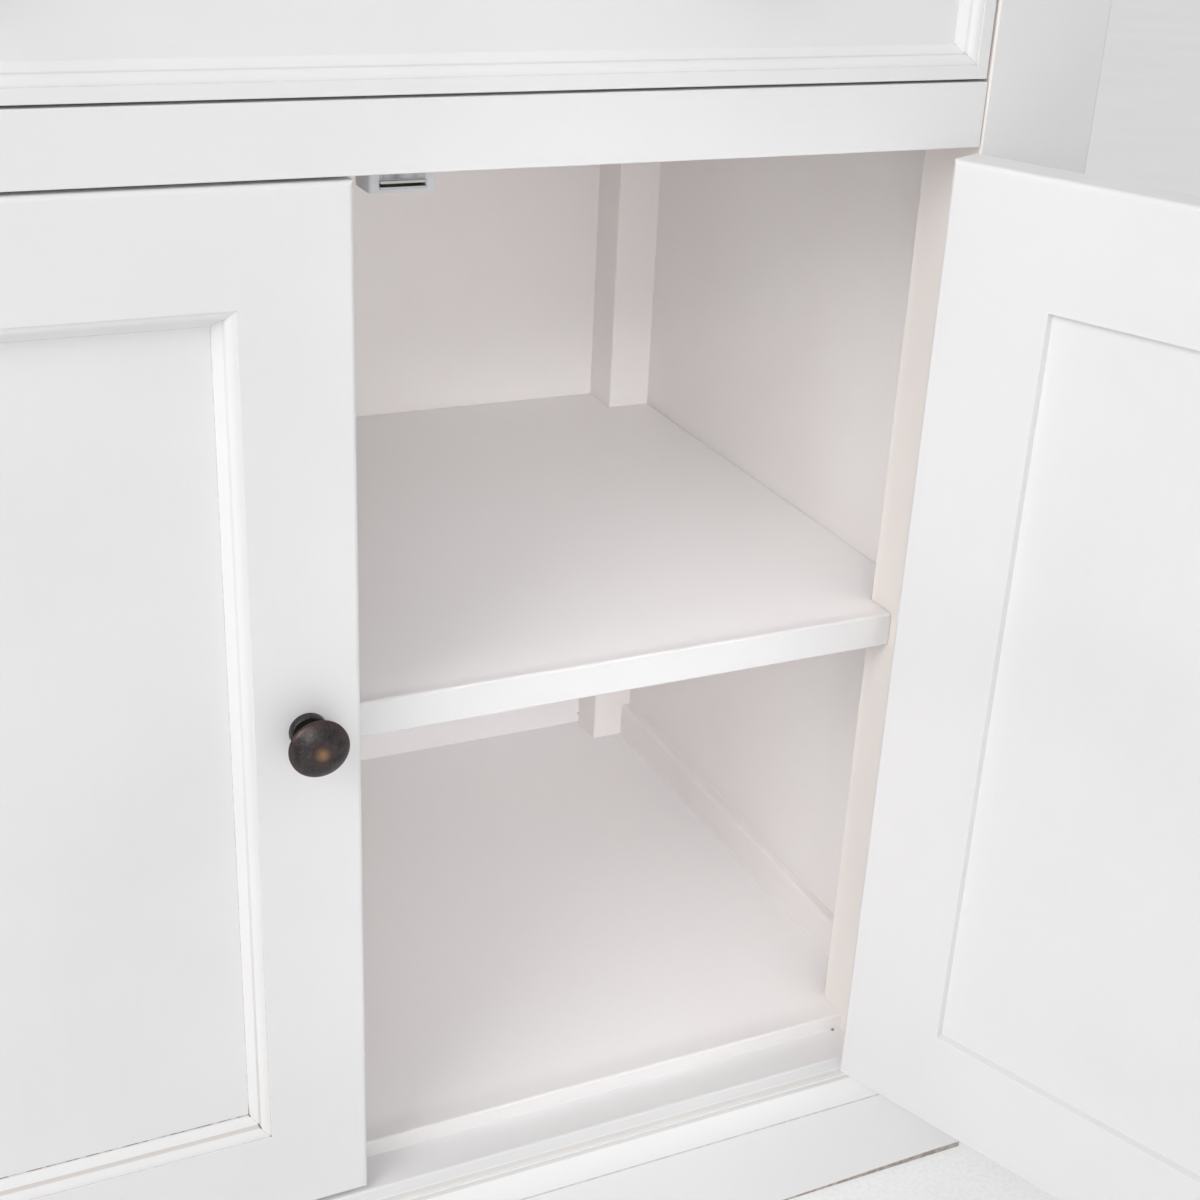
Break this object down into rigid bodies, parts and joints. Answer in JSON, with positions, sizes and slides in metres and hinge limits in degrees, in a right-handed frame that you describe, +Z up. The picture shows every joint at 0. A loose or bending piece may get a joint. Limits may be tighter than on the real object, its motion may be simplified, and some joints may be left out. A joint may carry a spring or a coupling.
{
  "type": "display hutch",
  "caption": "White painted hutch: a base with panelled doors under a wide drawer, and a shallower display section with glazed doors and shelves.",
  "frame": {"origin": "on the floor, on the front plane of the carcass, half way across it", "axes": "+Z up, +X to the right as seen from the front, -Y out of the doors"},
  "size_m": [0.9329, 0.8165, 1.998],
  "materials": {
    "white_paint_on_wood": "satin white paint",
    "clear_glass": "clear polished",
    "dark_bronze": "dark oil-rubbed bronze, worn at the crown",
    "bright_steel": "satin",
    "white_plastic": "moulded"
  },
  "bodies": {
    "carcass": {"back_panel": "white_paint_on_wood", "back_rails": "white_paint_on_wood", "bottom_rail": "white_paint_on_wood", "catch_housings": "white_plastic", "catch_plates": "bright_steel", "cornice": "white_paint_on_wood", "cupboard_shelf": "white_paint_on_wood", "display_back_panel": "white_paint_on_wood", "display_floor": "white_paint_on_wood", "display_front_rails": "white_paint_on_wood", "display_posts": "white_paint_on_wood", "display_shelves": "white_paint_on_wood", "display_side_panels": "white_paint_on_wood", "display_side_rails": "white_paint_on_wood", "display_top": "white_paint_on_wood", "divider_rail": "white_paint_on_wood", "drawer_runners": "white_paint_on_wood", "floor_board": "white_paint_on_wood", "front_post_left": "white_paint_on_wood", "front_post_right": "white_paint_on_wood", "hinge_frame_leaves": "bright_steel", "hinge_pins": "bright_steel", "plinth_boards": "white_paint_on_wood", "plinth_moulding": "white_paint_on_wood", "rear_post_left": "white_paint_on_wood", "rear_post_right": "white_paint_on_wood", "shelf_cleats": "white_paint_on_wood", "side_panel_left": "white_paint_on_wood", "side_panel_right": "white_paint_on_wood", "side_rails": "white_paint_on_wood", "top_rail": "white_paint_on_wood", "worktop": "white_paint_on_wood"},
    "left_door": {"left_door_fittings": "bright_steel", "left_door_knob": "dark_bronze", "left_door_moulding": "white_paint_on_wood", "left_door_panel": "white_paint_on_wood", "left_door_rails": "white_paint_on_wood", "left_door_stiles": "white_paint_on_wood"},
    "right_door": {"right_door_fittings": "bright_steel", "right_door_knob": "dark_bronze", "right_door_moulding": "white_paint_on_wood", "right_door_panel": "white_paint_on_wood", "right_door_rails": "white_paint_on_wood", "right_door_stiles": "white_paint_on_wood"},
    "drawer": {"drawer_back": "white_paint_on_wood", "drawer_bottom": "white_paint_on_wood", "drawer_front": "white_paint_on_wood", "drawer_knobs": "dark_bronze", "drawer_moulding": "white_paint_on_wood", "drawer_sides": "white_paint_on_wood"},
    "display_left_door": {"display_left_door_fittings": "bright_steel", "display_left_door_frame": "white_paint_on_wood", "display_left_door_knob": "dark_bronze", "display_left_glass": "clear_glass", "display_left_glazing_bars": "white_paint_on_wood"},
    "display_right_door": {"display_right_door_fittings": "bright_steel", "display_right_door_frame": "white_paint_on_wood", "display_right_door_knob": "dark_bronze", "display_right_glass": "clear_glass", "display_right_glazing_bars": "white_paint_on_wood"}
  },
  "joints": [
    {"name": "right_door_hinge", "type": "hinge", "parent": "carcass", "child": "right_door", "pos_m": [0.339, -0.003, 0.395], "axis": [0, 0, 1], "range_deg": [-112, 58]},
    {"name": "left_door_hinge", "type": "hinge", "parent": "carcass", "child": "left_door", "pos_m": [-0.339, -0.003, 0.395], "axis": [0, 0, -1], "range_deg": [0, 170]},
    {"name": "drawer_slide", "type": "slide", "parent": "carcass", "child": "drawer", "axis": [0, -1, 0], "range_m": [0, 0.3]},
    {"name": "display_right_hinge", "type": "hinge", "parent": "carcass", "child": "display_right_door", "pos_m": [0.339, 0.157, 1.439], "axis": [0, 0, 1], "range_deg": [0, 170]},
    {"name": "display_left_hinge", "type": "hinge", "parent": "carcass", "child": "display_left_door", "pos_m": [-0.339, 0.157, 1.439], "axis": [0, 0, -1], "range_deg": [0, 170]}
  ]
}
